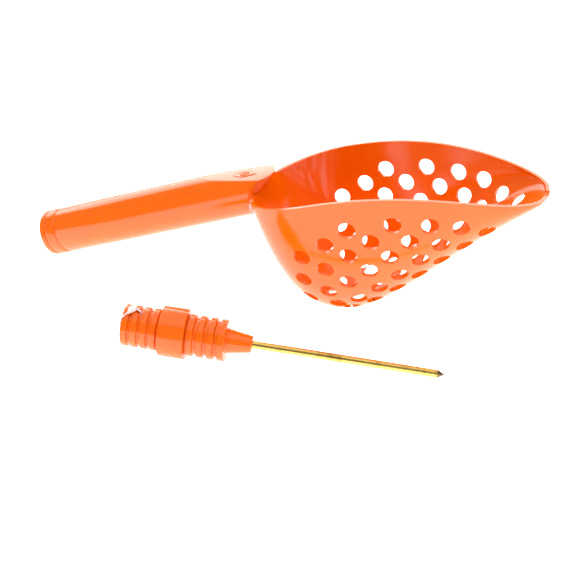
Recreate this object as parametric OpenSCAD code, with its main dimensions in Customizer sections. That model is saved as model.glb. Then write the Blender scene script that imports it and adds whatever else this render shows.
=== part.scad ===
// Beach sand scoop with a pull-out probe.
// The scoop rests on its belly and on the lower edge of its handle. The probe lies
// in front of it. X runs from the handle to the tip, Z is up, and the origin is on
// the ground under the middle of the set.

/* [Bowl] */
// Half of the bowl's greatest width
bowl_half_w = 48.2; // [44:0.2:52]
// Height of the rim at the back of the bowl
rim_back_h = 75.3; // [72:0.1:78]
// Height of the rim at the tip
rim_tip_h = 99.2; // [96:0.1:102]
// Rise of the rim above a straight line, halfway along
rim_bow = 14.6; // [8:0.1:16]
// Length of the bowl along X, from its back to its tip
bowl_len = 188.2; // [180:0.2:196]
// Thickness of the bowl's wall
wall = 2.4; // [2:0.1:3]
// Diameter of the sifting holes
hole_d = 11.2; // [8:0.1:12]

/* [Handle] */
// Outer diameter of the handle
handle_d = 32; // [30:0.5:33]
// Diameter of the handle's wide bore, which takes the plug
bore_d = 26.6; // [26.6:0.1:27]
// Length of the wide bore, from the mouth
bore_len = 120; // [110:1:124]
// Diameter of the narrow bore beyond it, which takes the rod's end
rod_bore_d = 10; // [8:0.5:12]
// Depth of the narrow bore's end, from the mouth
rod_bore_end = 162.5; // [162:0.5:163]
// Angle of the handle above the ground
rise = 20.5; // [20:0.1:21]
// Depth of the two finger rings near the mouth
ring_depth = 0.5; // [0.3:0.1:0.8]

/* [Probe] */
// Diameter over the plug's ribs
plug_d = 26.5; // [26.4:0.01:26.55]
// Diameter between the plug's ribs
plug_core_d = 23.2; // [22:0.1:24]
// Spacing of the ribs in front of the collar
rib_pitch = 6.6; // [6.4:0.1:6.7]
// Spacing of the ribs behind the collar
tail_pitch = 6.1; // [5.9:0.1:6.2]
// Width of a rib
rib_w = 4; // [3.4:0.1:4.4]
// Diameter of the rod
rod_d = 5; // [4.5:0.1:6]
// Bore of the hollow tail
tail_bore_d = 19; // [17:0.5:20]
// Angle of the probe to the scoop, seen from above
probe_yaw = 9; // [7:0.5:11]

/* [Tag fastener] */
// Thickness of the nylon strand
strand_d = 1.2; // [1:0.1:1.4]

/* [Hidden] */
$fn = 48;
eps = 0.01;
// Side of the blocks that only cut
block = 80;

// ---- Placing of the scoop and of the whole set ----
// Position of the bowl's back and tip, before the whole set is centred
back_x = -44.6;
tip_x = back_x + bowl_len;
belly_x = 14.4;
handle_r = handle_d / 2;
mouth_round = 0.8;
// The handle's axis starts at the middle of its mouth
mouth_x = -203.8;
mouth_z = mouth_round * (1 - sin(rise)) + (handle_r - mouth_round) * cos(rise);
// The tube stops at an upright cut just behind the bowl
tube_end_x = -47.5;
// Probe: places along its axis are measured from the middle of the collar
collar_half = 8.3;
plug_front = 33.3;
nose_end = 49.5;
tail_end = -32.1;
rod_tip = 169.6;
rod_point = 4.2;
collar_edge = 0.8;
probe_x = -67.5;
probe_y = -97.2;
// The collar's front edge and the rod's shoulder both touch the ground
probe_tilt = atan((handle_r - rod_d / 2) / (rod_tip - rod_point - collar_half + collar_edge));
probe_z = handle_r * cos(probe_tilt) + (collar_half - collar_edge) * sin(probe_tilt);
set_x = -(mouth_x - handle_r * sin(rise) + tip_x) / 2;
set_y = -(bowl_half_w + probe_y + tail_end * sin(probe_yaw) - plug_d / 2 * cos(probe_yaw)) / 2;

// ---- Shape of the bowl ----
back_steps = 9;
front_steps = 18;
girth_steps = 24;
// Height of the tip's upright edge
lip = 2.4;
// Where the bowl is widest, and the back of the ellipse that its plan starts with
wide_x = 1.3;
plan_back_x = -49.9;
// Powers of the curve that narrows the plan to the tip, and how blunt the tip is
plan_side = 1.83;
plan_tip = 2.66;
tip_blunt = 0.0012;
// Share of the rim's rise that is gathered near its middle
bow_peak = 0.36;
// Powers of the cross-section's curve, across and down
section_side = 2.5;
section_floor = 2.2;

function bez(a, b, c, d, t) =
    a * pow(1 - t, 3) + 3 * b * t * pow(1 - t, 2) + 3 * c * t * t * (1 - t) + d * pow(t, 3);
// Outline of the bottom, seen from the side: the back wall, then the slope up to the tip
function back_line(t) = bez([back_x, rim_back_h], [back_x + 12.6, rim_back_h - 31.5],
    [belly_x - 33.7, 0], [belly_x, 0], t);
function front_line(t) = bez([belly_x, 0], [belly_x + 33.1, 0],
    [tip_x - 59.3, rim_tip_h - 44.2], [tip_x, rim_tip_h - lip], t);
function back_slope(t) = back_line(t + eps) - back_line(t - eps);
function front_slope(t) = front_line(t + eps) - front_line(t - eps);
// Half of the bowl's width in plan, at x
function half_w(x) = x < wide_x
    ? bowl_half_w * sqrt(1 - pow((wide_x - x) / (wide_x - plan_back_x), 2))
    : bowl_half_w * pow(max(1 - pow((x - wide_x) / (tip_x - wide_x), plan_side), tip_blunt), 1 / plan_tip);
function along(x) = (x - back_x) / (tip_x - back_x);
function rim_z(x) = let (s = along(x), k = 4 * s * (1 - s))
    rim_back_h + (rim_tip_h - rim_back_h) * s + rim_bow * ((1 - bow_peak) * k + bow_peak * k * k);
// Height of the bottom under x, found by halving the interval
function front_t(x, lo = 0, hi = 1, n = 16) = n == 0 ? (lo + hi) / 2
    : front_line((lo + hi) / 2)[0] < x ? front_t(x, (lo + hi) / 2, hi, n - 1)
    : front_t(x, lo, (lo + hi) / 2, n - 1);
function back_t(x, lo = 0.2, hi = 1, n = 16) = n == 0 ? (lo + hi) / 2
    : back_line((lo + hi) / 2)[0] < x ? back_t(x, (lo + hi) / 2, hi, n - 1)
    : back_t(x, lo, (lo + hi) / 2, n - 1);
function floor_z(x) = x > belly_x ? front_line(front_t(x))[1] : back_line(back_t(x))[1];
// Points of the outer face: from the side distance or from the height
function z_at(x, y) =
    let (h = rim_z(x), q = pow(1 - pow(abs(y) / half_w(x), section_side), 1 / section_floor))
    h - (h - floor_z(x)) * q;
function y_at(x, z) = let (h = rim_z(x), q = (h - z) / (h - floor_z(x)))
    half_w(x) * pow(1 - pow(q, section_floor), 1 / section_side);

// One cross-section ring: half width w, from the rim height h to the bottom b
function ring(x, w, h, b) = [for (j = [0 : girth_steps])
    let (u = 180 * j / girth_steps - 90, s = pow(abs(sin(u)), 2 / section_side))
    [x, w * s * sign(u), h - (h - b) * pow(max(cos(u), 0), 2 / section_floor)]];
function flare(x) = sqrt(1 + pow((half_w(x + 0.5) - half_w(x - 0.5)), 2));
function unit(v) = v / norm(v);
// A point of the bottom line moved inwards by d
function inward(p, v, d) = p + d * [-unit(v)[1], unit(v)[0]];

// The back wall starts this far along its line, where its rings first have a height
back_from = 0.035;
outer_line = concat(
    [for (i = [0 : back_steps - 1]) back_line(back_from + (1 - back_from) * i / back_steps)],
    [for (i = [0 : front_steps]) front_line(sin(90 * i / front_steps))]);
outer_rings = [for (p = outer_line) ring(p[0], half_w(p[0]), rim_z(p[0]), p[1])];
// The hollow stops this far along the front line, so the tip keeps its wall
inner_front = 0.985;
inner_line = concat(
    [for (i = [1 : back_steps - 1])
        let (t = i / back_steps) inward(back_line(t), back_slope(t), wall)],
    [for (i = [0 : front_steps])
        let (t = inner_front * sin(90 * i / front_steps)) inward(front_line(t), front_slope(t), wall)]);
// The hollow's rings stand above the rim, so that they cut it open
over_rim = 14;
hollow_min_w = 1.2;
function hollow_ring(p) = let (w = max(half_w(p[0]) - wall * flare(p[0]), hollow_min_w), r = rim_z(p[0]))
    concat([[p[0], -w, r + over_rim]], ring(p[0], w, r, p[1]), [[p[0], w, r + over_rim]]);
inner_rings = [for (p = inner_line) hollow_ring(p)];

// A closed skin over a list of rings that all have the same number of points
module skin(rings) {
    n = len(rings);
    m = len(rings[0]);
    polyhedron(
        points = [for (r = rings) each r],
        faces = concat(
            [for (i = [0 : n - 2], j = [0 : m - 2]) [i * m + j, (i + 1) * m + j, i * m + j + 1]],
            [for (i = [0 : n - 2], j = [0 : m - 2])
                [i * m + j + 1, (i + 1) * m + j, (i + 1) * m + j + 1]],
            [for (i = [0 : n - 2]) [i * m + m - 1, (i + 1) * m, i * m]],
            [for (i = [0 : n - 2]) [i * m + m - 1, (i + 1) * m + m - 1, (i + 1) * m]],
            [[for (j = [0 : m - 1]) j]],
            [[for (j = [m - 1 : -1 : 0]) (n - 1) * m + j]]));
}

// ---- Sifting holes ----
// Each column runs down the slope. It has: how its holes lie (at a side distance y or
// at a height z), the number of holes, the top hole's x with its step and its bend per
// step squared, and the same three for y or z.
hole_columns = [
    ["y", 9, 126.0, 13.2, 0.20, 0.0, 0, 0],
    ["y", 9, 124.0, 13.2, 0.20, 14.0, 0, 0],
    ["y", 7, 111.6, 13.0, 0.20, 26.0, 0.2, 0.07],
    ["y", 7, 97.7, 11.9, 0.22, 35.4, 0.2, 0.15],
    ["z", 7, 79.6, 11.6, 0.30, 86.0, 12.9, -0.20],
    ["z", 5, 57.1, 13.3, 0.35, 85.4, 13.6, -0.20],
    ["z", 3, 28.3, 13.5, 0.60, 78.5, 13.2, -0.40]];
function stepped(start, step, bend, k) = start - step * k - bend * k * k;
function hole_point(c, k) = let (x = stepped(c[2], c[3], c[4], k), v = stepped(c[5], c[6], c[7], k))
    c[0] == "y" ? [x, v, z_at(x, v)] : [x, y_at(x, v), v];
// Direction across the wall at a point of the outer face
function slope_x(x, y) = z_at(x + 0.5, y) - z_at(x - 0.5, y);
function slope_y(x, y) = z_at(x, y + 0.5) - z_at(x, y - 0.5);
function out_dir(p) = unit([slope_x(p[0], p[1]), slope_y(p[0], p[1]), -1]);

module aim(p, d) {
    translate(p) rotate([0, acos(d[2]), atan2(d[1], d[0])]) children();
}

// Each hole's cutter starts this far inside the wall
hole_inside = 9;
hole_cut = 14;
module sifting_holes() {
    for (c = hole_columns, k = [0 : c[1] - 1]) {
        p = hole_point(c, k);
        d = out_dir(p);
        for (side = p[1] > 1 ? [1, -1] : [1])
            aim([p[0], side * p[1], p[2]], [d[0], side * d[1], d[2]])
                translate([0, 0, -hole_inside]) cylinder(d = hole_d, h = hole_cut);
    }
}

// ---- Handle ----
module on_handle() {
    translate([mouth_x, 0, mouth_z]) rotate([0, 90 - rise, 0]) children();
}

// The flat for the thumb is cut into the handle's top at a smaller angle
flat_x = -86.3;
flat_z = 75.8;
flat_rise = 12.8;
module above_flat() {
    translate([flat_x, -block / 2, flat_z]) rotate([0, -flat_rise, 0]) cube([2 * block, block, block]);
}

// A plain raised pad with two pointed ends, in the middle of the flat
emblem_x = 33;
emblem_r = 13;
emblem_off = 9;
emblem_h = 0.4;
module emblem() {
    translate([flat_x, 0, flat_z]) rotate([0, -flat_rise, 0]) translate([emblem_x, 0, -emblem_h])
        intersection_for (side = [-1, 1])
            translate([0, side * emblem_off, 0]) cylinder(r = emblem_r, h = 2 * emblem_h);
}

// The bowl's neck carries the handle's upper part on, from the tube's end to the bowl's back
neck_drop = 9;
neck_from = 130;
neck_len = 14;
module neck() {
    difference() {
        intersection() {
            on_handle() translate([0, 0, neck_from]) cylinder(r = handle_r, h = block);
            on_handle() translate([neck_drop - block / 2, -block / 2, neck_from])
                cube([block / 2, block, block]);
            translate([tube_end_x, -block / 2, block / 2]) cube([neck_len, block, block]);
        }
        above_flat();
    }
}

module scoop_bowl() {
    color("orangered") translate([set_x, set_y, 0]) difference() {
        union() {
            skin(outer_rings);
            neck();
        }
        skin(inner_rings);
        sifting_holes();
    }
}

ring_off = 0.4;
module finger_ring(at) {
    translate([0, 0, at]) rotate_extrude()
        translate([handle_r + ring_off, 0]) circle(r = ring_off + ring_depth, $fn = 24);
}

// The tube is made longer than it is, then cut at its upright end
uncut_len = 180;
module handle_tube() {
    color("orangered") translate([set_x, set_y, 0]) {
        difference() {
            on_handle() rotate_extrude() polygon(concat(
                [[0, 0], [handle_r - mouth_round, 0]],
                [for (a = [-60 : 30 : 0]) [handle_r - mouth_round + mouth_round * cos(a),
                    mouth_round + mouth_round * sin(a)]],
                [[handle_r, uncut_len], [0, uncut_len]]));
            on_handle() translate([0, 0, -1]) cylinder(d = bore_d, h = bore_len + 1);
            on_handle() translate([0, 0, bore_len - 1])
                cylinder(d = rod_bore_d, h = rod_bore_end - bore_len + 1);
            for (at = [4.2, 12.6]) on_handle() finger_ring(at);
            translate([tube_end_x, -block / 2, 0]) cube([block, block, 2 * block]);
            above_flat();
        }
        emblem();
    }
}

// ---- Probe ----
module on_probe() {
    translate([set_x + probe_x, set_y + probe_y, probe_z])
        rotate([0, 0, probe_yaw]) rotate([0, 90 + probe_tilt, 0]) children();
}

rib_edge = 0.8;
module rib(at) {
    translate([0, 0, at - rib_w / 2]) rotate_extrude() polygon([
        [0, 0], [plug_d / 2 - rib_edge, 0], [plug_d / 2, rib_edge],
        [plug_d / 2, rib_w - rib_edge], [plug_d / 2 - rib_edge, rib_w], [0, rib_w]]);
}

// Distances of the first ribs in front of and behind the collar's middle
first_rib = 11.2;
first_tail_rib = 11.8;
nose_d1 = 16;
nose_d2 = 10.6;
// The rod starts here, inside the plug
rod_from = 8;
eyelet_at = -22.3;
eyelet_d = 4.6;
// The eyelet is turned away from the scoop by this angle
loop_side = 8;
module probe_plug() {
    color("orangered") on_probe() difference() {
        union() {
            translate([0, 0, tail_end + 1]) cylinder(d = plug_core_d, h = plug_front - tail_end - 1);
            for (i = [0 : 3]) {
                rib(first_rib + rib_pitch * i);
                rib(-first_tail_rib - tail_pitch * i);
            }
            translate([0, 0, -collar_half]) rotate_extrude() polygon([
                [0, 0], [handle_r - collar_edge, 0], [handle_r, collar_edge],
                [handle_r, 2 * collar_half - collar_edge],
                [handle_r - collar_edge, 2 * collar_half], [0, 2 * collar_half]]);
            translate([0, 0, plug_front - eps])
                cylinder(d1 = nose_d1, d2 = nose_d2, h = nose_end - plug_front);
        }
        translate([0, 0, tail_end - 5]) cylinder(d = tail_bore_d, h = 5 - tail_end - collar_half);
        translate([0, 0, eyelet_at]) rotate([0, -90, loop_side]) cylinder(d = eyelet_d, h = 20);
        translate([0, 0, rod_from]) cylinder(d = rod_d, h = nose_end);
    }
}

rod_end_r = 0.4;
module probe_rod() {
    color("goldenrod") on_probe() rotate_extrude() polygon([
        [0, rod_from], [rod_d / 2, rod_from], [rod_d / 2, rod_tip - rod_point],
        [rod_end_r, rod_tip], [0, rod_tip]]);
}

// ---- Tag fastener ----
// Distances of the strand's outer and inner sides from the probe's axis
loop_out_r = plug_d / 2 + 0.95;
loop_in_r = tail_bore_d / 2 - 1;
loop_r = (loop_out_r - loop_in_r) / 2;
loop_from = tail_end - 1.6;
loop_to = eyelet_at - 1.9;
// The lock head on the strand's outer side
lock = [3.2, 4, 4.6];
lock_at = -28.5;
lock_sunk = 0.3;
module loop_bend() {
    rotate_extrude(angle = 180) translate([loop_r, 0]) circle(d = strand_d, $fn = 16);
}

module tag_loop() {
    color("white") on_probe() rotate([0, 0, 180 + loop_side]) translate([loop_in_r + loop_r, 0, 0]) {
        for (r = [-loop_r, loop_r])
            translate([r, 0, loop_from]) cylinder(d = strand_d, h = loop_to - loop_from, $fn = 16);
        translate([0, 0, loop_to]) rotate([90, 0, 0]) loop_bend();
        translate([0, 0, loop_from]) rotate([-90, 0, 0]) loop_bend();
        translate([loop_r - lock_sunk, -lock[1] / 2, lock_at]) cube(lock);
    }
}

scoop_bowl();
handle_tube();
probe_plug();
probe_rod();
tag_loop();
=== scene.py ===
import math

import bmesh
import bpy
import numpy as np
from mathutils import Matrix, Vector


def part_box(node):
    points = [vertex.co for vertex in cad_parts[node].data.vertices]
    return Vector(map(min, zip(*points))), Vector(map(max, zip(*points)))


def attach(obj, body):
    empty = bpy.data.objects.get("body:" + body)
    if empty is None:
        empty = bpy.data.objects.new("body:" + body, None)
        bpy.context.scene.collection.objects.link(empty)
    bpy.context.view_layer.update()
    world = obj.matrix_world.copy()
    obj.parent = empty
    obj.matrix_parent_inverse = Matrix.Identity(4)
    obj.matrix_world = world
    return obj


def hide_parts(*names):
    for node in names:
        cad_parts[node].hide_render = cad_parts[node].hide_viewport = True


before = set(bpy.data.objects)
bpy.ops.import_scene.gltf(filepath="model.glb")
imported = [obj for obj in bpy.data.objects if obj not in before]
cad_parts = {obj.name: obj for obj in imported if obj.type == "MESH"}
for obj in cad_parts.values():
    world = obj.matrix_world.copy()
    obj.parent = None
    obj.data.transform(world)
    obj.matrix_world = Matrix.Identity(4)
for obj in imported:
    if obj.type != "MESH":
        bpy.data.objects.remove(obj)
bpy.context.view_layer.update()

mm = 0.001               # pieces are drawn in millimetres and scaled once, at the end


def hexColor(code):      # sRGB hex to linear
    parts = [int(code[i:i + 2], 16) / 255 for i in (0, 2, 4)]
    return (*[c / 12.92 if c <= 0.04045 else ((c + 0.055) / 1.055) ** 2.4 for c in parts], 1)


def addNode(tree, kind, inputs=None, links=None, **settings):
    node = tree.nodes.new(kind)
    for name, value in settings.items():
        setattr(node, name, value)
    for name, value in (inputs or {}).items():
        node.inputs[name].default_value = value
    for name, source in (links or {}).items():
        tree.links.new(source, node.inputs[name])
    return node


def newMaterial(name):
    material = bpy.data.materials.new(name)
    material.use_nodes = True
    material.node_tree.nodes.clear()
    return material, material.node_tree


# Injection-moulded polypropylene: a glossy skin over a slightly milky, light-carrying body,
# with the faint long waves that a cooling moulding gets
orangeLook = {"body": "EA6200", "thin": "EE6A00", "roughness": 0.13, "ior": 1.5, "glow": 0.22,
              "glowDepth": 1.6, "waveLength": 26, "waveHeight": 0.05, "grain": 0.9, "grainHeight": 0.004}


def mouldedPolypropylene():
    look = orangeLook
    material, tree = newMaterial("moulded polypropylene")
    place = addNode(tree, "ShaderNodeTexCoord").outputs["Object"]
    waves = addNode(tree, "ShaderNodeTexNoise", {"Scale": 1 / (look["waveLength"] * mm), "Detail": 1.0},
                    {"Vector": place})
    grain = addNode(tree, "ShaderNodeTexNoise", {"Scale": 1 / (look["grain"] * mm), "Detail": 2.0},
                    {"Vector": place})
    color = addNode(tree, "ShaderNodeMix", {"A": hexColor(look["body"]), "B": hexColor(look["thin"])},
                    {"Factor": waves.outputs["Fac"]}, data_type="RGBA")
    rough = addNode(tree, "ShaderNodeMapRange", {"To Min": look["roughness"] - 0.03,
                    "To Max": look["roughness"] + 0.05}, {"Value": grain.outputs["Fac"]})
    bumpWaves = addNode(tree, "ShaderNodeBump", {"Strength": 0.6, "Distance": look["waveHeight"] * mm},
                        {"Height": waves.outputs["Fac"]})
    bump = addNode(tree, "ShaderNodeBump", {"Strength": 0.6, "Distance": look["grainHeight"] * mm},
                   {"Height": grain.outputs["Fac"], "Normal": bumpWaves.outputs["Normal"]})
    shader = addNode(tree, "ShaderNodeBsdfPrincipled",
                     {"IOR": look["ior"], "Subsurface Weight": look["glow"],
                      "Subsurface Radius": (1.0, 0.35, 0.08), "Subsurface Scale": look["glowDepth"] * mm},
                     {"Base Color": color.outputs["Result"], "Roughness": rough.outputs["Result"],
                      "Normal": bump.outputs["Normal"]})
    addNode(tree, "ShaderNodeOutputMaterial", links={"Surface": shader.outputs["BSDF"]})
    return material


# Drawn brass rod: a bright yellow metal with fine lengthwise draw lines and a few dull stains.
# The draw lines are drawn about 0.6 mm apart, coarser than real ones, so that they show
brassLook = {"bright": "E8C46A", "stained": "B08A3A", "roughness": 0.2, "lineSpacing": 0.6, "stain": 9}


def drawnBrass(axisTurn):
    look = brassLook
    material, tree = newMaterial("drawn brass")
    place = addNode(tree, "ShaderNodeTexCoord").outputs["Object"]
    turned = addNode(tree, "ShaderNodeMapping", {"Rotation": axisTurn}, {"Vector": place})
    long = addNode(tree, "ShaderNodeMapping", {"Scale": (1, 1, 0.02)}, {"Vector": turned.outputs["Vector"]})
    lines = addNode(tree, "ShaderNodeTexNoise", {"Scale": 1 / (look["lineSpacing"] * mm), "Detail": 3.0},
                    {"Vector": long.outputs["Vector"]})
    stains = addNode(tree, "ShaderNodeTexNoise", {"Scale": 1 / (look["stain"] * mm), "Detail": 4.0},
                     {"Vector": place})
    where = addNode(tree, "ShaderNodeMapRange", {"From Min": 0.5, "From Max": 0.75},
                    {"Value": stains.outputs["Fac"]})
    color = addNode(tree, "ShaderNodeMix", {"A": hexColor(look["bright"]), "B": hexColor(look["stained"])},
                    {"Factor": where.outputs["Result"]}, data_type="RGBA")
    rough = addNode(tree, "ShaderNodeMapRange", {"To Min": look["roughness"] - 0.06,
                    "To Max": look["roughness"] + 0.12}, {"Value": lines.outputs["Fac"]})
    bump = addNode(tree, "ShaderNodeBump", {"Strength": 0.4, "Distance": 0.01 * mm},
                   {"Height": lines.outputs["Fac"]})
    shader = addNode(tree, "ShaderNodeBsdfPrincipled", {"Metallic": 1.0},
                     {"Base Color": color.outputs["Result"], "Roughness": rough.outputs["Result"],
                      "Normal": bump.outputs["Normal"]})
    addNode(tree, "ShaderNodeOutputMaterial", links={"Surface": shader.outputs["BSDF"]})
    return material


# Brass point with painted shade: the point is coloured a darker grey-brown than the rod, painted shade on the
# brass, with a fine mottle and matching bumps
pointShadeLook = {"light": "9A7F58", "dark": "5E4A34", "roughness": 0.42, "marks": 0.35}


def paintedShadeBrassPoint():
    look = pointShadeLook
    material, tree = newMaterial("brass point with painted shade")
    place = addNode(tree, "ShaderNodeTexCoord").outputs["Object"]
    marks = addNode(tree, "ShaderNodeTexNoise", {"Scale": 1 / (look["marks"] * mm), "Detail": 3.0},
                    {"Vector": place})
    # both colours of the point are painted shade, darker grey-brown than the rod's brass
    color = addNode(tree, "ShaderNodeMix", {"A": hexColor(look["light"]), "B": hexColor(look["dark"])},
                    {"Factor": marks.outputs["Fac"]}, data_type="RGBA")
    bump = addNode(tree, "ShaderNodeBump", {"Strength": 0.6, "Distance": 0.02 * mm},
                   {"Height": marks.outputs["Fac"]})
    shader = addNode(tree, "ShaderNodeBsdfPrincipled", {"Metallic": 1.0, "Roughness": look["roughness"]},
                     {"Base Color": color.outputs["Result"], "Normal": bump.outputs["Normal"]})
    addNode(tree, "ShaderNodeOutputMaterial", links={"Surface": shader.outputs["BSDF"]})
    return material


# Moulded nylon, unpigmented: milky, soft-edged highlights and light carried through thin strands
nylonLook = {"body": "F6F1EC", "shade": "E9DCD6", "roughness": 0.34, "glow": 0.5, "cloud": 1.5}


def milkyNylon():
    look = nylonLook
    material, tree = newMaterial("milky nylon")
    place = addNode(tree, "ShaderNodeTexCoord").outputs["Object"]
    cloud = addNode(tree, "ShaderNodeTexNoise", {"Scale": 1 / (look["cloud"] * mm), "Detail": 2.0},
                    {"Vector": place})
    color = addNode(tree, "ShaderNodeMix", {"A": hexColor(look["body"]), "B": hexColor(look["shade"])},
                    {"Factor": cloud.outputs["Fac"]}, data_type="RGBA")
    bump = addNode(tree, "ShaderNodeBump", {"Strength": 0.4, "Distance": 0.02 * mm},
                   {"Height": cloud.outputs["Fac"]})
    shader = addNode(tree, "ShaderNodeBsdfPrincipled",
                     {"Roughness": look["roughness"], "IOR": 1.53, "Subsurface Weight": look["glow"],
                      "Subsurface Radius": (1.0, 0.95, 0.9), "Subsurface Scale": 1.0 * mm},
                     {"Base Color": color.outputs["Result"], "Normal": bump.outputs["Normal"]})
    addNode(tree, "ShaderNodeOutputMaterial", links={"Surface": shader.outputs["BSDF"]})
    return material


# The scoop is drawn in its own frame, with its mid-plane at y 0, and moved to where the CAD bowl is
bowlShape = {"halfWidth": 48.2, "backX": -44.6, "length": 188.2, "bellyX": 14.4, "wideX": 1.3,
             "planBackX": -49.9, "planSide": 1.83, "planTip": 2.66, "tipBlunt": 0.0012,
             "rimBack": 75.3, "rimTip": 99.2, "rimBow": 14.6, "bowPeak": 0.36, "lip": 2.4,
             "sectionSide": 2.5, "sectionFloor": 2.2, "wall": 2.4, "edgeRound": 0.4,
             "columns": 124, "rows": 158}
tipX = bowlShape["backX"] + bowlShape["length"]
bowlLow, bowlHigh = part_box("scoop_bowl")
scoopPlace = Matrix.Translation((bowlHigh.x / mm - tipX, (bowlLow.y + bowlHigh.y) / 2 / mm, 0))


def bezier(a, b, c, d, t):
    return a * (1 - t) ** 3 + 3 * b * t * (1 - t) ** 2 + 3 * c * t ** 2 * (1 - t) + d * t ** 3


def backLine(t):         # the bottom's outline seen from the side: the back wall
    s = bowlShape
    return (bezier(s["backX"], s["backX"] + 12.6, s["bellyX"] - 33.7, s["bellyX"], t),
            bezier(s["rimBack"], s["rimBack"] - 31.5, 0, 0, t))


def frontLine(t):        # and the slope up to the tip
    s = bowlShape
    return (bezier(s["bellyX"], s["bellyX"] + 33.1, tipX - 59.3, tipX, t),
            bezier(0, 0, s["rimTip"] - 44.2, s["rimTip"] - s["lip"], t))


def halfWidth(x):
    s = bowlShape
    back = np.sqrt(np.maximum(1 - ((s["wideX"] - x) / (s["wideX"] - s["planBackX"])) ** 2, 0))
    along = np.maximum((x - s["wideX"]) / (tipX - s["wideX"]), 0)
    front = np.maximum(1 - along ** s["planSide"], s["tipBlunt"]) ** (1 / s["planTip"])
    return s["halfWidth"] * np.where(x < s["wideX"], back, front)


def rimHeight(x):
    s = bowlShape
    along = (x - s["backX"]) / s["length"]
    bow = 4 * along * (1 - along)
    return (s["rimBack"] + (s["rimTip"] - s["rimBack"]) * along
            + s["rimBow"] * ((1 - s["bowPeak"]) * bow + s["bowPeak"] * bow ** 2))


def surfaceTable(across=260, down=420):   # points of the outer face, evenly spaced both ways
    s = bowlShape
    fine = np.linspace(0, 1, 1200)
    line = np.hstack([np.array(backLine(fine)), np.array(frontLine(fine[1:]))])
    walked = np.concatenate([[0], np.cumsum(np.hypot(*np.diff(line)))])
    even = np.linspace(0, walked[-1], down)
    lineX = np.interp(even, walked, line[0])
    lineZ = np.interp(even, walked, line[1])
    angle = np.radians(np.linspace(-90, 90, 1201))
    side = np.sign(angle) * np.abs(np.sin(angle)) ** (2 / s["sectionSide"])
    depth = np.maximum(np.cos(angle), 0) ** (2 / s["sectionFloor"])
    grid = np.zeros((down, across, 3))
    for i, (x, z) in enumerate(zip(lineX, lineZ)):
        rim = float(rimHeight(x))
        y = float(halfWidth(x)) * side
        h = rim - (rim - z) * depth
        girth = np.concatenate([[0], np.cumsum(np.hypot(np.diff(y), np.diff(h)))])
        at = np.linspace(0, girth[-1], across)
        grid[i] = np.stack([np.full(across, x), np.interp(at, girth, y), np.interp(at, girth, h)], 1)
    return grid


table = surfaceTable()


def onSurface(u, v):     # u runs round the girth and v from the back to the tip, both 0 to 1
    fu = min(max(u, 0), 1) * (table.shape[1] - 1)
    fv = min(max(v, 0), 1) * (table.shape[0] - 1)
    i, j = min(int(fv), table.shape[0] - 2), min(int(fu), table.shape[1] - 2)
    a, b = fv - i, fu - j
    return Vector((table[i, j] * (1 - b) + table[i, j + 1] * b) * (1 - a)
                  + (table[i + 1, j] * (1 - b) + table[i + 1, j + 1] * b) * a)


# Each column of holes runs down the slope: how it lies (at a side distance y or a height z), the
# number of holes, the top hole's x with its step and bend, and the same three for y or z
holeShape = {"radius": 5.6, "columns": [
    ("y", 9, 126.0, 13.2, 0.20, 0.0, 0, 0), ("y", 9, 124.0, 13.2, 0.20, 14.0, 0, 0),
    ("y", 7, 111.6, 13.0, 0.20, 26.0, 0.2, 0.07), ("y", 7, 97.7, 11.9, 0.22, 35.4, 0.2, 0.15),
    ("z", 7, 79.6, 11.6, 0.30, 86.0, 12.9, -0.20), ("z", 5, 57.1, 13.3, 0.35, 85.4, 13.6, -0.20),
    ("z", 3, 28.3, 13.5, 0.60, 78.5, 13.2, -0.40)]}


def holeCentres():       # (u, v) of every hole's centre, found on the table of surface points
    found = []
    flat = table.reshape(-1, 3)
    for lies, count, x0, dx, bendX, w0, dw, bendW in holeShape["columns"]:
        for k in range(count):
            x = x0 - dx * k - bendX * k * k
            w = w0 - dw * k - bendW * k * k
            other = flat[:, 1] if lies == "y" else flat[:, 2]
            near = (flat[:, 0] - x) ** 2 + (other - w) ** 2 + 1e4 * (flat[:, 1] < -0.1)
            if lies == "y":              # of the two places at that y, the lower one
                near = near + 1e-4 * flat[:, 2]
            i, j = divmod(int(np.argmin(near)), table.shape[1])
            u, v = j / (table.shape[1] - 1), i / (table.shape[0] - 1)
            if w < 1 and lies == "y":
                found.append((0.5, v))
            else:
                found += [(u, v), (1 - u, v)]
    return found


def tangents(u, v, step=0.003):
    du = (onSurface(u + step, v) - onSurface(u - step, v)) / (2 * step)
    dv = (onSurface(u, v + step) - onSurface(u, v - step)) / (2 * step)
    return du, dv


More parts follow.
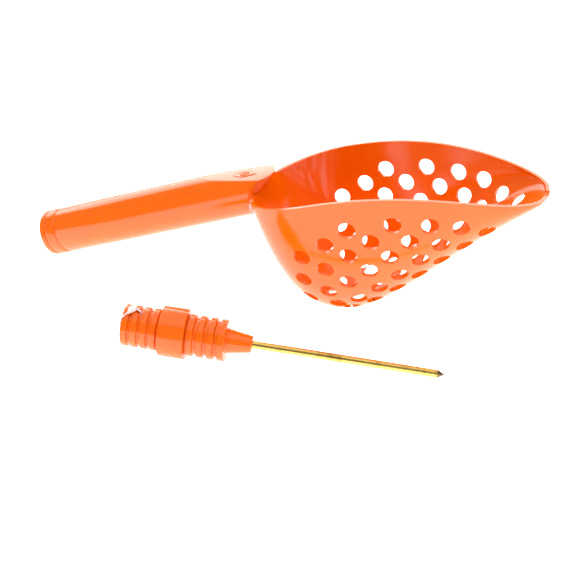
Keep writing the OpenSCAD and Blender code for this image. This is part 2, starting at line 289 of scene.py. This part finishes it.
def openHole(bm, u0, v0):                # takes the faces out, then sets their edge to an even circle
    radius = holeShape["radius"]
    centre = onSurface(u0, v0)
    du, dv = tangents(u0, v0)
    right = du.normalized()
    normal = du.cross(dv).normalized()
    down = normal.cross(right)
    reachU, reachV = 2.2 * radius / du.length, 2.2 * radius / dv.length

    def inPlane(co):
        gap = onSurface(co.x, co.y) - centre
        return gap.dot(right), gap.dot(down), gap.dot(normal)

    inside = set()
    for face in bm.faces:
        mid = face.calc_center_median()
        if abs(mid.x - u0) < reachU and abs(mid.y - v0) < reachV:
            a, b, c = inPlane(mid)
            if math.hypot(a, b) < radius and abs(c) < radius:
                inside.add(face)
    edge = {v for f in inside for v in f.verts if not all(g in inside for g in v.link_faces)}
    bmesh.ops.delete(bm, geom=list(inside), context="FACES")
    ring = sorted(edge, key=lambda v: math.atan2(*inPlane(v.co)[1::-1]))
    turn = [math.atan2(*inPlane(v.co)[1::-1]) - 2 * math.pi * k / len(ring) for k, v in enumerate(ring)]
    start = math.atan2(sum(math.sin(t) for t in turn), sum(math.cos(t) for t in turn))
    for k, vert in enumerate(ring):
        angle = start + 2 * math.pi * k / len(ring)
        goal = (radius * math.cos(angle), radius * math.sin(angle))
        for _ in range(6):               # walks the point over the surface to its place on the circle
            a, b, _c = inPlane(vert.co)
            tu, tv = tangents(vert.co.x, vert.co.y)
            m = Matrix(((tu.dot(right), tv.dot(right)), (tu.dot(down), tv.dot(down))))
            shift = m.inverted() @ Vector((goal[0] - a, goal[1] - b))
            vert.co.x += shift.x
            vert.co.y += shift.y
    return ring


def openBowl():
    bm = bmesh.new()
    bmesh.ops.create_grid(bm, x_segments=bowlShape["columns"], y_segments=bowlShape["rows"], size=0.5)
    bmesh.ops.translate(bm, verts=bm.verts, vec=(0.5, 0.5, 0))
    rings = []
    for u, v in holeCentres():
        rings += openHole(bm, u, v)
    held = {v for v in rings if v.is_valid}
    loose = set()
    near = set(held)
    for _ in range(3):                   # three rows of faces round each hole even themselves out
        near = {e.other_vert(v) for v in near for e in v.link_edges} - held
        loose |= near
    loose = [v for v in loose if not v.is_boundary]
    for _ in range(8):
        bmesh.ops.smooth_vert(bm, verts=loose, factor=0.5, use_axis_x=True, use_axis_y=True)
    for vert in bm.verts:
        vert.co = onSurface(vert.co.x, vert.co.y)
    return bm


def finished(name, bm, place, materials, body, replaced=(), smoothAngle=38):
    bm.transform(Matrix.Scale(mm, 4) @ place)
    mesh = bpy.data.meshes.new(name)
    bm.to_mesh(mesh)
    bm.free()
    mesh.shade_smooth()
    mesh.set_sharp_from_angle(angle=math.radians(smoothAngle))
    for material in materials:
        mesh.materials.append(material)
    piece = bpy.data.objects.new(name, mesh)
    bpy.context.scene.collection.objects.link(piece)
    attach(piece, body)
    if replaced:
        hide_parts(*replaced)
    print(name, len(mesh.polygons), "faces")
    return piece


def cutAway(bm, point, normal):          # everything on the normal's side goes, and the cut is closed
    geom = bm.verts[:] + bm.edges[:] + bm.faces[:]
    bmesh.ops.bisect_plane(bm, geom=geom, plane_co=point, plane_no=normal, clear_outer=True)
    bmesh.ops.holes_fill(bm, edges=[e for e in bm.edges if e.is_boundary], sides=0)


def sharpEdges(bm, degrees, keep=lambda e: True):
    bm.normal_update()
    return [e for e in bm.edges if len(e.link_faces) == 2
            and e.calc_face_angle(0) > math.radians(degrees) and keep(e)]


def spun(points, steps):                 # (radius, height) points turned once about Z
    bm = bmesh.new()
    verts = [bm.verts.new((r, 0, z)) for r, z in points]
    edges = [bm.edges.new(pair) for pair in zip(verts, verts[1:])]
    bmesh.ops.spin(bm, geom=verts + edges, axis=(0, 0, 1), cent=(0, 0, 0), angle=math.tau,
                   steps=steps, use_merge=True, use_duplicate=False)
    bmesh.ops.remove_doubles(bm, verts=bm.verts, dist=0.001)
    bmesh.ops.dissolve_degenerate(bm, edges=bm.edges, dist=0.001)
    bmesh.ops.recalc_face_normals(bm, faces=bm.faces)
    return bm


def roundedProfile(points, radius, steps=3):   # each inner corner of a profile becomes a short arc
    out = [points[0]]
    for before, corner, after in zip(points, points[1:], points[2:]):
        a, b, c = Vector(before), Vector(corner), Vector(after)
        size = min(radius, (a - b).length * 0.45, (c - b).length * 0.45)
        start, end = b + (a - b).normalized() * size, b + (c - b).normalized() * size
        for k in range(steps + 1):
            t = k / steps
            out.append(tuple(start * (1 - t) ** 2 + b * 2 * t * (1 - t) + end * t * t))
    return out + [points[-1]]


orange = mouldedPolypropylene()
bowl = finished("bowlWall", openBowl(), scoopPlace, [orange], "scoop", ["scoop_bowl"], 60)
thicken = bowl.modifiers.new("wall", "SOLIDIFY")
thicken.thickness = bowlShape["wall"] * mm
thicken.offset = -1
thicken.use_even_offset = True
thicken.use_quality_normals = True
soften = bowl.modifiers.new("edges", "BEVEL")
soften.width = bowlShape["edgeRound"] * mm
soften.segments = 2
soften.limit_method = "ANGLE"
soften.angle_limit = math.radians(50)
soften.harden_normals = True

handleShape = {"radius": 16, "mouthX": -203.8, "rise": 20.5, "mouthRound": 0.8, "boreRadius": 13.3,
               "boreLength": 120, "rodBore": 5, "rodBoreEnd": 162.5, "tubeEndX": -47.5, "uncut": 180,
               "rings": (4.2, 12.6), "ringDepth": 0.5, "ringWidth": 0.75, "steps": 128,
               "flatX": -86.3, "flatZ": 75.8, "flatRise": 12.8, "flatRound": 0.5, "neckDrop": 9,
               "tongueX": -44.3, "tongueReach": 7.4, "tongueHalf": 13.4,
               "frontTop": 84, "frontSlope": 30}
rise = math.radians(handleShape["rise"])
mouthZ = (handleShape["mouthRound"] * (1 - math.sin(rise))
          + (handleShape["radius"] - handleShape["mouthRound"]) * math.cos(rise))
onHandle = (Matrix.Translation((handleShape["mouthX"], 0, mouthZ))
            @ Matrix.Rotation(math.pi / 2 - rise, 4, "Y"))
flatTurn = math.radians(handleShape["flatRise"])
flatPoint = Vector((handleShape["flatX"], 0, handleShape["flatZ"]))
flatNormal = Vector((-math.sin(flatTurn), 0, math.cos(flatTurn)))


def onFlat(edge):
    return all(abs((v.co - flatPoint).dot(flatNormal)) < 0.01 for v in edge.verts)


def handleTube():
    s = handleShape
    r, b, m = s["radius"], s["boreRadius"], s["mouthRound"]
    outer = [(r - m + m * math.sin(math.radians(a)), m - m * math.cos(math.radians(a)))
             for a in range(0, 91, 15)]
    for at in s["rings"]:                # shallow round-bottomed grooves
        outer += [(r - s["ringDepth"] * math.cos(math.radians(a)) ** 2, at + s["ringWidth"] * a / 90)
                  for a in range(-90, 91, 15)]
    inner = [(0, s["rodBoreEnd"]), (s["rodBore"], s["rodBoreEnd"]), (s["rodBore"], s["boreLength"]),
             (b, s["boreLength"]), (b, 0.4), (b + 0.4, 0)]
    bm = spun(inner + outer + [(r, 60), (r, 120), (r, s["uncut"]), (0, s["uncut"])], s["steps"])
    bm.transform(onHandle)
    cutAway(bm, (s["tubeEndX"], 0, 0), (1, 0, 0))
    cutAway(bm, flatPoint, flatNormal)
    bm.normal_update()
    rim = sharpEdges(bm, 8, lambda e: onFlat(e) and max(v.co.x for v in e.verts) < s["tubeEndX"] - 0.01
                     or onFlat(e) and abs(e.verts[0].co.x - e.verts[1].co.x) > 0.05)
    bmesh.ops.bevel(bm, geom=rim, offset=s["flatRound"], segments=3, profile=0.5, affect="EDGES", material=-1)
    return bm


finished("handleTube", handleTube(), scoopPlace, [orange], "scoop",
         ["handle_tube"], 30)


def neckShell():                         # the tube's top, carried over the bowl's back wall to a round front
    s = handleShape
    bm = bmesh.new()
    bmesh.ops.create_cone(bm, cap_ends=True, segments=s["steps"], radius1=s["radius"],
                          radius2=s["radius"], depth=60)
    bmesh.ops.translate(bm, verts=bm.verts, vec=(0, 0, 160))
    bm.transform(onHandle)
    up = onHandle.to_3x3() @ Vector((-1, 0, 0))
    slope = math.tan(math.radians(s["frontSlope"]))
    for k in range(-7, 8):               # flat cuts that follow an ellipse in plan
        angle = math.radians(10 * k)
        point = Vector((s["tongueX"] + s["tongueReach"] * math.cos(angle), s["tongueHalf"] * math.sin(angle),
                        s["frontTop"]))
        normal = Vector((math.cos(angle) / s["tongueReach"], math.sin(angle) / s["tongueHalf"], 0))
        normal.normalize()
        back = Vector((0, 0, slope * math.cos(angle) ** 2))   # the slope fades out towards the sides
        cutAway(bm, point, (normal - back).normalized())
    cutAway(bm, (s["tubeEndX"], 0, 0), (-1, 0, 0))
    cutAway(bm, onHandle @ Vector((s["neckDrop"], 0, 160)), -up)
    cutAway(bm, flatPoint, flatNormal)
    rim = sharpEdges(bm, 30, lambda e: onFlat(e) and max(v.co.x for v in e.verts) > s["tubeEndX"] + 0.01)
    bmesh.ops.bevel(bm, geom=rim, offset=s["flatRound"], segments=3, profile=0.5, affect="EDGES", material=-1)
    return bm


finished("neck", neckShell(), scoopPlace, [orange], "scoop", (), 30)

# A plain raised badge on the flat: a pointed oval with a raised edge and three ribs, with no mark on it
badgeShape = {"along": 31.5, "length": 17.5, "width": 9.6, "height": 0.45, "edge": 1.0, "sink": 0.25,
              "ribs": 3, "ribLength": 7.0, "ribWidth": 0.8, "ribPitch": 2.0}


def badge():
    s = badgeShape
    bm = bmesh.new()
    bmesh.ops.create_circle(bm, cap_ends=True, segments=64, radius=1)
    for v in bm.verts:
        point = abs(v.co.x) ** 1.6
        v.co.y *= 1 - 0.35 * point
    bmesh.ops.scale(bm, verts=bm.verts, vec=(s["length"] / 2, s["width"] / 2, 1))
    top = bmesh.ops.extrude_face_region(bm, geom=bm.faces[:])
    bmesh.ops.translate(bm, verts=[v for v in top["geom"] if isinstance(v, bmesh.types.BMVert)],
                        vec=(0, 0, s["height"]))
    bmesh.ops.recalc_face_normals(bm, faces=bm.faces)
    lid = [f for f in bm.faces if f.normal.z > 0.9]
    bmesh.ops.inset_region(bm, faces=lid, thickness=s["edge"], use_even_offset=True)
    bmesh.ops.translate(bm, verts=lid[0].verts[:], vec=(0, 0, -s["sink"]))
    for k in range(s["ribs"]):
        length = s["ribLength"] - 2.2 * abs(k - (s["ribs"] - 1) / 2)
        rib = bmesh.ops.create_cube(bm, size=1)["verts"]
        bmesh.ops.scale(bm, verts=rib, vec=(length, s["ribWidth"], s["height"]))
        bmesh.ops.translate(bm, verts=rib, vec=(0, (k - (s["ribs"] - 1) / 2) * s["ribPitch"], s["height"] / 2))
    edges = sharpEdges(bm, 40)
    bmesh.ops.bevel(bm, geom=edges, offset=0.12, segments=2, profile=0.5, affect="EDGES", material=-1)
    return bm


flatPlace = (Matrix.Translation(flatPoint) @ Matrix.Rotation(-flatTurn, 4, "Y")
             @ Matrix.Translation((badgeShape["along"], 0, -0.05)))
finished("badge", badge(), scoopPlace @ flatPlace, [orange], "scoop", (), 30)

probeShape = {"yaw": 9, "x": -67.5, "y": -97.2, "collarHalf": 8.3, "collarRadius": 16, "collarRound": 0.8,
              "core": 11.6, "ribRadius": 13.25, "ribWidth": 4.0, "firstRib": 11.2, "ribPitch": 6.6,
              "firstTailRib": 11.8, "tailPitch": 6.1, "ribs": 4,
              "plugFront": 33.3, "noseStart": 8.0, "noseEndRadius": 5.3, "noseEnd": 49.5, "tailEnd": -32.1,
              "tailBore": 9.5, "eyeletAt": -22.3, "eyeletRadius": 2.3, "side": 8,
              "rodRadius": 2.5, "rodTip": 169.6, "rodPoint": 4.2, "rodFrom": 8, "steps": 112}
probeTilt = math.atan((probeShape["collarRadius"] - probeShape["rodRadius"])
                      / (probeShape["rodTip"] - probeShape["rodPoint"] - probeShape["collarHalf"]
                         + probeShape["collarRound"]))
probeZ = (probeShape["collarRadius"] * math.cos(probeTilt)
          + (probeShape["collarHalf"] - probeShape["collarRound"]) * math.sin(probeTilt))
onProbe = (Matrix.Translation((probeShape["x"], probeShape["y"], probeZ))
           @ Matrix.Rotation(math.radians(probeShape["yaw"]), 4, "Z")
           @ Matrix.Rotation(math.pi / 2 + probeTilt, 4, "Y"))


def ribStep(at):                         # one rib of the profile, from tail to nose
    s = probeShape
    return [(s["core"], at - s["ribWidth"] / 2 - 0.25), (s["ribRadius"], at - s["ribWidth"] / 2),
            (s["ribRadius"], at + s["ribWidth"] / 2), (s["core"], at + s["ribWidth"] / 2 + 0.25)]


def probeBody():
    s = probeShape
    c = s["collarHalf"]
    line = [(0, -c - 0.4), (s["tailBore"], -c - 0.4), (s["tailBore"], s["tailEnd"]),
            (s["ribRadius"], s["tailEnd"])]
    tailRibs = [ribStep(-s["firstTailRib"] - s["tailPitch"] * k) for k in reversed(range(s["ribs"]))]
    line += tailRibs[0][2:]
    for rib in tailRibs[1:]:
        line += rib
    line += [(s["core"], -c), (s["collarRadius"], -c), (s["collarRadius"], c), (s["core"], c)]
    for k in range(s["ribs"]):
        line += ribStep(s["firstRib"] + s["ribPitch"] * k)
    line = line[:-1] + [(s["ribRadius"] - 0.3, s["plugFront"]), (s["noseStart"], s["plugFront"]),
                        (s["noseEndRadius"], s["noseEnd"]), (s["rodRadius"], s["noseEnd"]),
                        (s["rodRadius"], s["noseEnd"] - 3), (0, s["noseEnd"] - 3)]
    bm = spun(roundedProfile(line, 0.55), s["steps"])
    return bm


def withHole(piece, cutter):             # cuts a drill-shaped helper out of the piece and drops the helper
    cut = piece.modifiers.new("hole", "BOOLEAN")
    cut.object = cutter
    cut.solver = "EXACT"
    bpy.context.view_layer.update()
    shape = bpy.data.meshes.new_from_object(piece.evaluated_get(bpy.context.evaluated_depsgraph_get()))
    piece.modifiers.remove(cut)
    old = piece.data
    piece.data = shape
    bpy.data.meshes.remove(old)
    bpy.data.objects.remove(cutter)


probeBodyPiece = finished("probeBody", probeBody(), scoopPlace @ onProbe, [orange], "probe",
                          ["probe_plug"], 30)
drill = bmesh.new()
bmesh.ops.create_cone(drill, cap_ends=True, segments=40, radius1=probeShape["eyeletRadius"],
                      radius2=probeShape["eyeletRadius"], depth=16)
drill.transform(Matrix.Scale(mm, 4) @ scoopPlace @ onProbe
                @ Matrix.Rotation(math.radians(probeShape["side"]), 4, "Z")
                @ Matrix.Translation((-13, 0, probeShape["eyeletAt"])) @ Matrix.Rotation(math.pi / 2, 4, "Y"))
drillMesh = bpy.data.meshes.new("drill")
drill.to_mesh(drillMesh)
drill.free()
drillObject = bpy.data.objects.new("drill", drillMesh)
bpy.context.scene.collection.objects.link(drillObject)
withHole(probeBodyPiece, drillObject)
probeBodyPiece.data.set_sharp_from_angle(angle=math.radians(30))


def probeRod():
    s = probeShape
    r = s["rodRadius"]
    line = [(0, s["rodFrom"]), (r, s["rodFrom"]), (r, 60), (r, 100), (r, 140),
            (r, s["rodTip"] - s["rodPoint"]), (0.35, s["rodTip"] - 0.25), (0, s["rodTip"])]
    bm = spun(line, 64)
    for face in bm.faces:
        if face.calc_center_median().z > s["rodTip"] - s["rodPoint"]:
            face.material_index = 1
    return bm


rodTurn = (0, -(math.pi / 2 + probeTilt), 0)
brass = drawnBrass((0.0, rodTurn[1], math.radians(-probeShape["yaw"])))
# the point's faces take the second material, brass with painted shade
finished("probeRod", probeRod(), scoopPlace @ onProbe, [brass, paintedShadeBrassPoint()], "probe",
         ["probe_rod"], 24)

# The tag fastener: a round nylon strand through the eyelet and round the tail's end, with its lock head
tagShape = {"strand": 1.2, "gapOut": 0.95, "gapIn": 1.0, "head": (3.2, 4.0, 4.6), "headAt": -28.5,
            "sunk": 0.3, "round": 0.7, "arcSteps": 14, "straightSteps": 12, "lean": 46}


def tagLoop():
    s, p = tagShape, probeShape
    outer, inner = p["ribRadius"] + s["gapOut"], p["tailBore"] - s["gapIn"]
    bend = (outer - inner) / 2
    low, high = p["tailEnd"] - 1.6, p["eyeletAt"] - 1.9
    bm = bmesh.new()
    bmesh.ops.create_circle(bm, segments=14, radius=s["strand"] / 2)
    bmesh.ops.translate(bm, verts=bm.verts, vec=(bend, 0, low))
    last = bm.verts[:] + bm.edges[:]

    def newest(result):
        return [g for g in result["geom_last"] if not isinstance(g, bmesh.types.BMFace)]

    def straight(geom, height):
        made = bmesh.ops.extrude_edge_only(bm, edges=[g for g in geom if isinstance(g, bmesh.types.BMEdge)])
        verts = [g for g in made["geom"] if isinstance(g, bmesh.types.BMVert)]
        bmesh.ops.translate(bm, verts=verts, vec=(0, 0, height))
        return verts + [g for g in made["geom"] if isinstance(g, bmesh.types.BMEdge)
                        and all(v in verts for v in g.verts)]

    for _ in range(s["straightSteps"]):
        last = straight(last, (high - low) / s["straightSteps"])
    last = newest(bmesh.ops.spin(bm, geom=last, axis=(0, -1, 0), cent=(0, 0, high), angle=math.pi,
                                 steps=s["arcSteps"]))
    for _ in range(s["straightSteps"]):
        last = straight(last, (low - high) / s["straightSteps"])
    bmesh.ops.spin(bm, geom=last, axis=(0, -1, 0), cent=(0, 0, low), angle=math.pi, steps=s["arcSteps"])
    bmesh.ops.remove_doubles(bm, verts=bm.verts, dist=0.02)
    head = bmesh.ops.create_cube(bm, size=1)["verts"]
    bmesh.ops.scale(bm, verts=head, vec=s["head"])
    bmesh.ops.translate(bm, verts=head, vec=(bend - s["sunk"] + s["head"][0] / 2, 0,
                                             s["headAt"] + s["head"][2] / 2))
    edges = {e for v in head for e in v.link_edges}
    bmesh.ops.bevel(bm, geom=list(edges), offset=s["round"], segments=3, profile=0.5, affect="EDGES",
                    material=-1)
    bmesh.ops.recalc_face_normals(bm, faces=bm.faces)
    bm.transform(Matrix.Translation((inner + bend, 0, 0)))
    for v in bm.verts:                   # the strand leans down the near side on its way to the tail's end
        share = min(max((high - v.co.z) / (high - low), 0), 1)
        v.co = Matrix.Rotation(math.radians(180 + p["side"] + s["lean"] * share ** 1.5), 3, "Z") @ v.co
    return bm


finished("tagFastener", tagLoop(), scoopPlace @ onProbe, [milkyNylon()], "probe",
         ["tag_loop"], 45)

studio = {"floorSize": 5.0, "floor": "FBFBFB", "floorGlow": 1.3, "world": 0.27,
          "fill": (14, 1.6, 1.6), "ceiling": (24, 3.0, 3.0), "back": (38, 3.0, 1.2),
          "front": (0.25, 0.16, 0.1),
          "fillAt": (0.1, -0.25, 1.5), "ceilingAt": (0, 0.35, 1.7), "backAt": (-0.91, 1.58, 0.80),
          "frontAt": (0.45, -1.35, 0.32)}
floorMaterial, tree = newMaterial("white paper")
spots = addNode(tree, "ShaderNodeTexNoise", {"Scale": 3.0},
                {"Vector": addNode(tree, "ShaderNodeTexCoord").outputs["Object"]})
rough = addNode(tree, "ShaderNodeMapRange", {"To Min": 0.8, "To Max": 0.9}, {"Value": spots.outputs["Fac"]})
paper = addNode(tree, "ShaderNodeBsdfPrincipled",
                {"Base Color": hexColor(studio["floor"]), "Specular IOR Level": 0.0,
                 "Emission Color": (1, 1, 1, 1), "Emission Strength": studio["floorGlow"]},
                {"Roughness": rough.outputs["Result"]})
addNode(tree, "ShaderNodeOutputMaterial", links={"Surface": paper.outputs["BSDF"]})
bm = bmesh.new()
bmesh.ops.create_grid(bm, x_segments=1, y_segments=1, size=studio["floorSize"] / 2)
floorMesh = bpy.data.meshes.new("floor")
bm.to_mesh(floorMesh)
bm.free()
floorMesh.materials.append(floorMaterial)
floor = bpy.data.objects.new("floor", floorMesh)
floor.location.z = -0.0002
bpy.context.scene.collection.objects.link(floor)

world = bpy.data.worlds.new("studio")
bpy.context.scene.world = world
world.use_nodes = True
world.node_tree.nodes["Background"].inputs["Color"].default_value = (1, 1, 1, 1)
world.node_tree.nodes["Background"].inputs["Strength"].default_value = studio["world"]


def softLight(name, watts, size, place, target=(0, 0, 0.04), glossy=True):
    light = bpy.data.lights.new(name, "AREA")
    light.energy = watts
    light.shape = "RECTANGLE"
    light.size, light.size_y = size
    lamp = bpy.data.objects.new(name, light)
    lamp.location = place
    lamp.rotation_euler = (Vector(target) - Vector(place)).to_track_quat("-Z", "Y").to_euler()
    lamp.visible_glossy = glossy
    bpy.context.scene.collection.objects.link(lamp)
    return lamp


for lampName in ("fill", "ceiling", "back", "front"):
    watts, *lampSize = studio[lampName]
    softLight(lampName, watts, lampSize, studio[lampName + "At"], glossy=lampName != "fill")

cameraShape = {"azimuth": 17.76, "elevation": 31.34, "distance": 882.86, "lens": 81.68,
               "shift": (-0.0675, 0.0149)}
azimuth, elevation = math.radians(cameraShape["azimuth"]), math.radians(cameraShape["elevation"])
towards = Vector((math.sin(azimuth) * math.cos(elevation), -math.cos(azimuth) * math.cos(elevation),
                  math.sin(elevation)))
camera = bpy.data.objects.new("camera", bpy.data.cameras.new("camera"))
camera.location = (scoopPlace.translation + towards * cameraShape["distance"]) * mm
camera.rotation_euler = (math.pi / 2 - elevation, 0, azimuth)
camera.data.lens = cameraShape["lens"]
camera.data.sensor_width = 36
camera.data.shift_x, camera.data.shift_y = cameraShape["shift"]
bpy.context.scene.collection.objects.link(camera)
bpy.context.scene.camera = camera
bpy.context.scene.view_settings.view_transform = "Standard"
